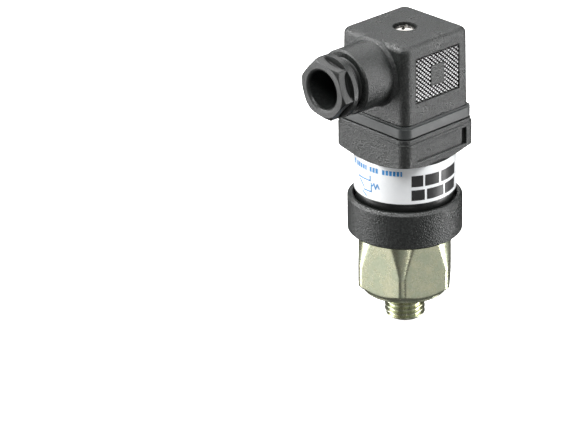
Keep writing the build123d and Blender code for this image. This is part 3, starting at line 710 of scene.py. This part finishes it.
@dataclass
class SwitchHead(SubAssembly):
    """Collar, neck with its label, square flange and gasket, and the flat contacts."""

    label_radius: float = 15.0
    facing: float = -45.1
    ink_height: float = 0.03
    ink_lift: float = 0.002
    line_width: float = 0.42
    bend_step: float = 0.8
    dash: float = 0.8
    dash_pitch: float = 1.1
    rating_rows: tuple[float, float] = (41.9, 43.4)
    upper_rows: tuple[float, float] = (38.5, 42.0)
    lower_rows: tuple[float, float] = (34.2, 37.5)

    def __post_init__(self) -> None:
        """Name the finishes of the frame nodes."""
        self.nodes = {
            "clamp_collar": GRAINED_POLYAMIDE,
            "neck_sleeve": SATIN_POLYAMIDE,
            "type_label": LABEL_FILM,
            "contact_base": GRAINED_POLYAMIDE,
            "profile_gasket": PROFILE_RUBBER,
            "contact_pins": TIN_PLATE,
            "earth_pin": TIN_PLATE,
            "base_nut": TURNED_BRASS,
            "neck_seal": NITRILE,
            "link_strip": TIN_PLATE,
            "earth_strip": TIN_PLATE,
        }

    def mark(self, outline: list) -> tuple[np.ndarray, list]:
        """Bend a flat four-cornered mark round the label.

        A point at (s, z) goes to the angle s / radius from the facing direction, at height z. The mark is a
        bilinear grid of its corners, ink_height thick.

        Args:
            outline: four (s, z) corners in millimetres, in order.

        Returns:
            The points and faces of the closed mark.
        """
        a, b, c, d = (np.array(corner, dtype=float) for corner in outline)
        count = 3 + int(abs(c[0] - a[0]) / self.bend_step)
        u = np.linspace(0.0, 1.0, count)[:, None, None]
        v = np.linspace(0.0, 1.0, 2)[None, :, None]
        flat = (1 - v) * ((1 - u) * a + u * b) + v * ((1 - u) * d + u * c)
        angles = np.radians(self.facing) + flat[..., 0] / self.label_radius
        top = UPRIGHT.points(self.label_radius + self.ink_height, angles, flat[..., 1])
        rows, columns = top.shape[:2]
        under = UPRIGHT.points(self.label_radius + self.ink_lift, angles, flat[..., 1])
        points = np.concatenate([top.reshape(-1, 3), under.reshape(-1, 3)])
        cells = grid_faces(rows, columns, False, False)
        back = cells[:, ::-1] + rows * columns
        ring = np.concatenate([np.arange(rows) * 2, (np.arange(rows) * 2 + 1)[::-1]])
        wall = np.stack([ring, np.roll(ring, -1), np.roll(ring, -1) + rows * 2, ring + rows * 2], axis=-1)
        return points, [tuple(face) for face in np.concatenate([cells, back, wall[:, ::-1]]).tolist()]

    def bar(self, left: float, right: float, low: float, high: float) -> list:
        """Return the corners of an upright bar."""
        return [(left, low), (right, low), (right, high), (left, high)]

    def stroke(self, start: tuple[float, float], end: tuple[float, float]) -> list:
        """Return the corners of a line of the symbol's width between two points.

        Args:
            start: (s, z) of one end.
            end: (s, z) of the other.

        Returns:
            Four corners, half the width either side of the line.
        """
        a, b = np.array(start), np.array(end)
        along = (b - a) / np.linalg.norm(b - a)
        side = np.array([-along[1], along[0]]) * self.line_width / 2
        reach = along * self.line_width / 2
        return [a - side - reach, b - side + reach, b + side + reach, a + side - reach]

    def print_marks(self, name: str, marks: list, finish: Finish) -> None:
        """Join marks into one printed piece on the label.

        Args:
            name: the piece's name.
            marks: lists of four corners.
            finish: the ink.
        """
        points, faces, start = [], [], 0
        for corners in marks:
            new_points, new_faces = self.mark(corners)
            points.append(new_points)
            faces += [tuple(number + start for number in face) for face in new_faces]
            start += len(new_points)
        piece = new_piece(name, np.concatenate(points), faces, finish, smooth=False)
        self.ride(piece, "base", "label_film")

    def symbol(self) -> list:
        """Return the strokes of a plain change-over contact: a lever between two fixed contacts.

        Returns:
            Lists of four (s, z) corners, one for each stroke.
        """
        bends = [(-10.2, 37.6), (-9.6, 38.3), (-9.0, 36.9), (-8.4, 38.3), (-7.8, 37.2)]
        spring = [self.stroke(start, end) for start, end in zip(bends, bends[1:])]
        return spring + [
            self.stroke((-16.2, 39.0), (-11.0, 39.0)),
            self.stroke((-11.0, 39.0), (-11.0, 40.4)),
            self.stroke((-15.4, 38.2), (-13.6, 36.4)),
            self.stroke((-10.6, 38.2), (-10.6, 35.6)),
            self.stroke((-10.6, 35.6), (-13.6, 35.6)),
            self.stroke((-14.2, 34.9), (-12.6, 33.9)),
        ]

    def rating_line(self) -> list:
        """Return short bars that stand for a line of small print.

        Returns:
            Lists of four (s, z) corners, one for each dash.
        """
        words = ((-19.4, -18.2), (-17.4, -12.4), (-11.2, -8.2), (-6.8, -0.8))
        bars = []
        for left, right in words:
            places = np.arange(left, right, self.dash_pitch)
            bars += [self.bar(place, min(place + self.dash, right), *self.rating_rows) for place in places]
        return bars

    def maker_block(self) -> list:
        """Return two rows of plain bars that stand for the words on the label, with no lettering.

        Returns:
            Lists of four (s, z) corners, one for each bar.
        """
        upper = ((1.9, 5.4), (6.0, 10.8), (11.6, 19.2))
        lower = ((1.9, 5.9), (6.6, 12.6), (13.2, 18.9))
        marks = [self.bar(left, right, *self.upper_rows) for left, right in upper]
        return marks + [self.bar(left, right, *self.lower_rows) for left, right in lower]

    def build(self) -> None:
        """Print the label."""
        self.print_marks("label_symbol", self.symbol() + self.rating_line(), BLUE_INK)
        self.print_marks("label_blocks", self.maker_block(), BLACK_INK)


@dataclass
class Microswitch(SubAssembly):
    """The change-over microswitch and the bracket that holds it inside the neck."""

    def __post_init__(self) -> None:
        """Name the finishes of the frame nodes."""
        self.nodes = {
            "switch_bracket": TURNED_STEEL,
            "switch_case": SWITCH_PHENOLIC,
            "switch_cover": SWITCH_PHENOLIC,
            "switch_button": BUTTON_ACETAL,
            "snap_blade": SPRING_WIRE,
            "switch_screws": NICKEL_PLATE,
            "switch_nuts": NICKEL_PLATE,
        }
        ends = ("common_terminal", "normally_closed_terminal", "normally_open_terminal")
        self.nodes |= {name: TIN_PLATE for name in ends}


@dataclass
class CableSocket(SubAssembly):
    """The square socket housing with its grips, terminals and central screw."""

    grip_length: float = 17.7
    grip_height: float = 13.7
    grip_middle: float = 71.52
    grip_floor: float = 12.65
    grip_top: float = 13.12
    pitch_along: float = 1.52
    pitch_up: float = 1.337
    point_crown: float = 0.45
    point_height: float = 0.95
    field_edge: float = 0.05
    field_lift: float = 0.03
    field_ease: float = 0.25
    back_lift: float = 0.004
    pad_edge: float = 0.12
    field_rows: tuple[int, int] = (230, 200)
    pad_length: float = 5.3
    pad_height: float = 6.1
    head_dia: float = 5.8
    head_top: float = 82.42
    head_low: float = 80.22
    head_dome: float = 0.55
    head_rim: float = 1.35
    cross_reach: float = 1.95
    cross_width: float = 0.85
    cross_depth: float = 1.5
    cross_heading: float = 25.0
    shank_dia: float = 3.0
    shank_low: float = 50.2
    cross_ease: float = 0.15
    cross_flare: float = 0.1
    dome_power: float = 2.2
    head_edge: float = 0.06
    neck_ease: float = 0.1
    tip: tuple[float, float] = (0.4, 0.5)
    head_rings: int = 44
    head_columns: int = 180

    def __post_init__(self) -> None:
        """Name the finishes of the frame nodes."""
        self.nodes = {
            "connector_housing": GRAINED_POLYAMIDE,
            "terminal_insert": INSERT_POLYAMIDE,
            "line_terminals": TURNED_BRASS,
            "earth_terminal": TURNED_BRASS,
            "terminal_screws": NICKEL_PLATE,
            "screw_seal": NITRILE,
            "housing_screw": NICKEL_PLATE,
        }

    def grip(self, side: int) -> None:
        """Build the field of diamond points in one of the side recesses.

        With t(u) the triangle wave that is 0 at whole numbers and 1 halfway, and w the lower of
        t(y / pitch_along + z / pitch_up) and t(y / pitch_along - z / pitch_up), the height is
        w / point_crown, held to 1, so flat-topped diamonds stand between crossing V-shaped trenches. It is
        zero over the plain pad and at the recess's edge.

        Args:
            side: +1 or -1, the face along X.
        """
        half_length = self.grip_length / 2 - self.field_edge
        half_height = self.grip_height / 2 - self.field_edge
        across = np.linspace(-half_length, half_length, self.field_rows[0])
        up = np.linspace(-half_height, half_height, self.field_rows[1])
        y, z = np.meshgrid(across, up, indexing="ij")
        first = np.mod(y / self.pitch_along + z / self.pitch_up, 1.0)
        second = np.mod(y / self.pitch_along - z / self.pitch_up, 1.0)
        wave = np.minimum(1 - 2 * np.abs(first - 0.5), 1 - 2 * np.abs(second - 0.5))
        wave = np.minimum(wave / self.point_crown, 1.0)
        into_pad = np.minimum(self.pad_length / 2 - np.abs(y), self.pad_height / 2 - np.abs(z))
        rim = np.minimum(self.grip_length / 2 - np.abs(y), self.grip_height / 2 - np.abs(z))
        wave = np.where(into_pad + self.pad_edge > 0.0, 0.0, wave)
        wave = wave * np.clip((rim - self.field_edge) / self.field_ease, 0.0, 1.0)
        base = self.grip_floor + self.field_lift
        out = side * (base + (self.grip_top - base) * self.point_height * wave)
        front = np.stack([out, y, z + self.grip_middle], axis=-1)
        points, faces = closed_sheet(front, np.array([0.0, 0.0, 0.0]))
        points[-2 * (len(across) + len(up)) + 4 :, 0] = side * (self.grip_floor + self.back_lift)
        name = "grip_front" if side > 0 else "grip_back"
        # the whole diamond field takes the darker polished finish, whose colour paints shade into the
        # trenches between the points
        piece = new_piece(name, points, faces, POLISHED_POLYAMIDE_PAINTED_SHADE, smooth=False)
        self.ride(piece, "socket", "housing_plastic")

    def screw(self) -> None:
        """Build the central screw with a domed cross-recess head.

        The head is a grid of rings and angles. Its height falls by head_dome (r / rim)^dome_power, less the
        cross: for each of two arms the depth is cross_depth (1 - (along / reach)^3) where the point is
        within half the arm's width, eased over cross_ease. The flank, underside, shank and tip follow as
        rings.
        """
        rings, columns = self.head_rings, self.head_columns
        angles = np.arange(columns) * TURN / columns
        radius = np.linspace(0.0, self.head_dia / 2, rings + 1)[1:]
        r, a = np.meshgrid(radius, angles, indexing="ij")
        dome = self.head_top - self.head_dome * (r / (self.head_dia / 2)) ** self.dome_power
        cut = np.zeros_like(r)
        for turn in (0.0, 90.0):
            heading = np.radians(self.cross_heading + turn)
            along = r * np.cos(a - heading)
            beside = np.abs(r * np.sin(a - heading))
            wide = self.cross_width / 2 * (1 + self.cross_flare * (1 - 2 * np.abs(along) / self.cross_reach))
            wall = np.clip((wide - beside) / self.cross_ease, 0.0, 1.0)
            reach = np.clip(1.0 - (np.abs(along) / self.cross_reach) ** 3, 0.0, 1.0)
            cut = np.maximum(cut, self.cross_depth * wall * reach)
        top = np.stack([r * np.cos(a), r * np.sin(a), dome - cut], axis=-1)
        rim, shank = self.head_dia / 2, self.shank_dia / 2
        rings_below = [
            (rim, self.head_low + self.head_rim * 0.93),
            (rim, self.head_low + self.head_rim * 0.5),
            (rim, self.head_low + self.head_edge),
            (rim - self.head_edge, self.head_low),
            (shank + self.neck_ease, self.head_low),
            (shank, self.head_low - self.neck_ease),
            (shank, self.shank_low + self.tip[1]),
            (shank - self.tip[0], self.shank_low),
        ]
        reach, height = np.array(rings_below)[:, :, None].transpose(1, 0, 2)
        grid = np.concatenate([top, UPRIGHT.points(reach, angles, height)])
        rows = len(grid)
        centre = np.array([[0.0, 0.0, self.head_top - self.cross_depth], [0.0, 0.0, self.shank_low]])
        points = np.concatenate([grid.reshape(-1, 3), centre])
        faces = [tuple(face) for face in grid_faces(rows, columns, False, True).tolist()]
        here, after = np.arange(columns), np.roll(np.arange(columns), -1)
        last = (rows - 1) * columns
        pole = rows * columns
        faces += [(pole, int(b), int(c)) for b, c in zip(after, here)]
        faces += [(pole + 1, int(b), int(c)) for b, c in zip(last + here, last + after)]
        # the screw's plating is darkened here: painted shade against the top light, not handling
        piece = new_piece("cross_screw", points, faces, PAINTED_SHADE_NICKEL)
        self.ride(piece, "housing_screw", "nickel_steel", "housing_screw")

    def build(self) -> None:
        """Build the grips and the screw."""
        self.grip(1)
        self.grip(-1)
        self.screw()


@dataclass
class CableGland(SubAssembly):
    """The gland nut with its threaded sleeve, and the washer and seal that it presses."""

    axis_height: float = 72.22
    pitch: float = 1.41
    thread_dia: float = 15.1
    sleeve_end: float = 21.1
    nut_back: float = 27.7
    rim: float = 1.7
    rim_dia: float = 18.6
    head: float = 3.7
    hex_width: float = 16.0
    corner_dia: float = 18.3
    corner_heading: float = 48.5
    front_dia: float = 16.4
    front_chamfer: float = 0.7
    bore_dia: float = 11.2
    lip: float = 0.8
    pocket_width: float = 1.5
    pocket_depth: float = 0.8
    pocket_half_angle: float = 26.0
    pocket_wall: float = 0.18
    pocket_floor: float = 0.15
    sleeve_lead: float = 0.8
    flat_ease: float = 0.12
    corner_ease: float = 0.14
    step: float = 0.14
    columns: int = 360
    spindle: Spindle = field(init=False)

    def __post_init__(self) -> None:
        """Name the finishes of the frame nodes, and set the spindle on the gland's axis."""
        self.nodes = {"gland_washer": NICKEL_PLATE, "gland_seal": NITRILE, "gland_nut": SATIN_POLYAMIDE}
        self.spindle = Spindle((0, 0, self.axis_height), (0, -1, 0), (1, 0, 0), (0, 0, 1))

    def outline(self) -> list:
        """Return the outline's corners, from the sleeve's inner end outwards and back down the bore.

        Returns:
            The (radius, place) corners.
        """
        thread, rim, bore = self.thread_dia / 2, self.rim_dia / 2, self.bore_dia / 2
        front = self.nut_back + self.rim + self.head
        return [
            (bore, self.sleeve_end),
            (thread - self.sleeve_lead, self.sleeve_end),
            (thread, self.sleeve_end + self.sleeve_lead),
            (thread, self.nut_back),
            (rim, self.nut_back),
            (rim, self.nut_back + self.rim),
            (self.corner_dia / 2, self.nut_back + self.rim),
            (self.corner_dia / 2, front - self.front_chamfer),
            (self.front_dia / 2, front),
            (bore + self.lip, front),
            (bore + self.lip * 0.35, front - self.lip * 0.3),
            (bore, front - self.lip),
        ]

    def reshape(self, radius: np.ndarray, angles: np.ndarray, places: np.ndarray) -> np.ndarray:
        """Cut the flats, the pockets behind them and the sleeve's thread.

        Ahead of the rim the radius is the lower of the outline's and the hexagon's. A pocket lies where the
        distance ahead of the rim is under pocket_width sqrt(1 - (angle / half angle)^2), counted from the
        flat's middle, and takes pocket_depth off the flat.

        Args:
            radius: the outline's radius.
            angles: angle grid, in radians.
            places: grid of distances along the gland.

        Returns:
            The radius grid.
        """
        sixth = TURN / 6
        flats = soft_lower(radius, hexagon(angles, self.hex_width, self.corner_heading), self.flat_ease)
        ahead = places - self.nut_back - self.rim
        outside = radius > self.bore_dia / 2 + self.lip + 0.2
        from_flat = np.mod(angles - np.radians(self.corner_heading), sixth) - sixth / 2
        share = np.clip(1 - (np.degrees(from_flat) / self.pocket_half_angle) ** 2, 0.0, 1.0)
        depth = np.clip((self.pocket_width * np.sqrt(share) - ahead) / self.pocket_wall, 0.0, 1.0)
        depth = depth * np.clip((ahead + 0.02) / self.pocket_floor, 0.0, 1.0) * self.pocket_depth
        hexed = (ahead > 0.0) & outside
        thread = helix_thread(angles, places, self.thread_dia, self.pitch, -1.0)
        sleeve = (places < self.nut_back - 0.1) & (radius > self.thread_dia / 2 - THREAD_DEPTH * self.pitch)
        shaped = np.where(hexed, flats - depth, radius + 0 * angles)
        return np.where(sleeve, soft_lower(shaped, thread, THREAD_EASE), shaped)

    def build(self) -> None:
        """Build the nut as one turned surface in place of its frame node."""
        path = eased_path(self.outline(), self.corner_ease, self.step)
        piece = turned_piece("gland_nut_shell", path, self.spindle, self.columns, self.reshape, NUT_POLYAMIDE)
        self.ride(piece, "gland_nut", "gland_plastic", "gland_nut")


# ---------------------------------------------------------------- floor, lights and camera


@dataclass(frozen=True)
class Panel:
    """A soft panel light: its heading off the camera's, height, distance, size and power."""

    name: str
    heading: float
    height: float
    size: tuple[float, float]
    watts: float
    reach: float = 700.0


PANELS = (
    Panel("left_panel", -93, 8, (420, 1000), 7.3),
    Panel("right_panel", 90, 20, (380, 1000), 6.4),
    Panel("right_low_panel", 90, -24, (160, 160), 1.4),
    Panel("key_panel", -104, 39, (180, 180), 3.0),
    Panel("top_panel", 180, 50, (600, 400), 3.6, reach=800.0),
    Panel("front_panel", -8, 58, (500, 300), 4.6),
    Panel("left_card", -60, -8, (300, 800), 0.7),
    Panel("right_card", 53, -8, (300, 800), 0.4),
    Panel("front_card", 0, -24, (300, 300), 0.12),
    Panel("front_strip", 14, -12, (50, 300), 0.15),
)


@dataclass
class Studio:
    """A white table, broad soft lights at both sides, and the camera."""

    azimuth: float = 44.86
    elevation: float = 23.95
    distance: float = 905.2
    aim_height: float = 36.5
    lens: float = 196.13
    sensor: float = 36.0
    turn_left: float = 2.2496
    turn_down: float = 0.7070
    floor_size: float = 6000.0
    floor_depth: float = 20.0
    floor_steps: int = 9
    sky: float = 0.12

    def direction(self, azimuth: float, elevation: float) -> Vector:
        """Return the unit vector from the object at a heading and a height.

        Args:
            azimuth: degrees round from -Y towards +X.
            elevation: degrees above the horizon.

        Returns:
            The unit vector.
        """
        a, e = np.radians(azimuth), np.radians(elevation)
        return Vector((np.sin(a) * np.cos(e), -np.cos(a) * np.cos(e), np.sin(e)))

    def floor(self) -> None:
        """Lay the floor under the stud's end, where it is seen but casts nothing onto the object."""
        half = self.floor_size / 2
        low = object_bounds()[0][2] / MM
        steps = np.linspace(-half, half, self.floor_steps)
        x, y = np.meshgrid(steps, steps, indexing="ij")
        front = np.stack([x, y, np.full_like(x, low)], axis=-1)
        points, faces = closed_sheet(front, np.array([0.0, 0.0, -self.floor_depth]))
        floor = new_piece("floor", points, faces, PALE_FLOOR, smooth=False)
        floor.visible_diffuse = floor.visible_glossy = floor.visible_shadow = False
        floor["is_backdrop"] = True

    def hang(self, panel: Panel) -> None:
        """Hang one soft panel light that faces the object.

        Args:
            panel: the light.
        """
        light = bpy.data.lights.new(panel.name, "AREA")
        light.shape = "RECTANGLE"
        light.size, light.size_y = panel.size[0] * MM, panel.size[1] * MM
        light.energy = panel.watts
        lamp = bpy.data.objects.new(panel.name, light)
        bpy.context.scene.collection.objects.link(lamp)
        back = self.direction(self.azimuth + panel.heading, panel.height)
        lamp.location = Vector((0, 0, self.aim_height * MM)) + back * panel.reach * MM
        lamp.rotation_euler = back.to_track_quat("Z", "Y").to_euler()

    def lights(self) -> None:
        """Set the sky and the panels."""
        world = bpy.data.worlds.new("white_room")
        world.use_nodes = True
        world.node_tree.nodes["Background"].inputs["Color"].default_value = srgb("#ffffff")
        world.node_tree.nodes["Background"].inputs["Strength"].default_value = self.sky
        bpy.context.scene.world = world
        for panel in PANELS:
            self.hang(panel)

    def camera(self) -> None:
        """Stand the camera at its heading, with the object right of and above the picture's middle.

        The view ray turns off the object by two angles, and the camera rolls by the angle that keeps the
        object's axis upright in the picture.
        """
        aside, below = np.tan(np.radians([self.turn_left, self.turn_down]))
        aim = Vector((0, 0, self.aim_height * MM))
        back = self.direction(self.azimuth, self.elevation)
        up = Vector((0, 0, 1))
        level = (-back).cross(up).normalized()
        rise = level.cross(-back)
        ahead = (-back - level * aside - rise * below).normalized()
        level = ahead.cross(up).normalized()
        rise = level.cross(ahead)
        roll = float(np.arcsin(aside * ahead.z / rise.z))
        right = level * np.cos(roll) + rise * np.sin(roll)
        data = bpy.data.cameras.new("camera")
        data.lens, data.sensor_width = self.lens, self.sensor
        data.clip_start, data.clip_end = 0.05, 20.0
        camera = bpy.data.objects.new("camera", data)
        turned = Matrix((right, right.cross(ahead), -ahead)).transposed().to_4x4()
        camera.matrix_world = Matrix.Translation(aim + back * self.distance * MM) @ turned
        bpy.context.scene.collection.objects.link(camera)
        bpy.context.scene.camera = camera

    def build(self) -> None:
        """Build the floor, the lights and the camera."""
        bpy.context.scene.view_settings.view_transform = "Standard"
        self.floor()
        self.lights()
        self.camera()


def main() -> None:
    """Build each sub-assembly in order, then the studio."""
    logging.basicConfig(level=logging.INFO, format="%(name)s %(message)s")
    for part in (PortBody(), SwitchHead(), Microswitch(), CableSocket(), CableGland()):
        part.dress()
        if hasattr(part, "build"):
            part.build()
    Studio().build()


if __name__ == "__main__":
    main()
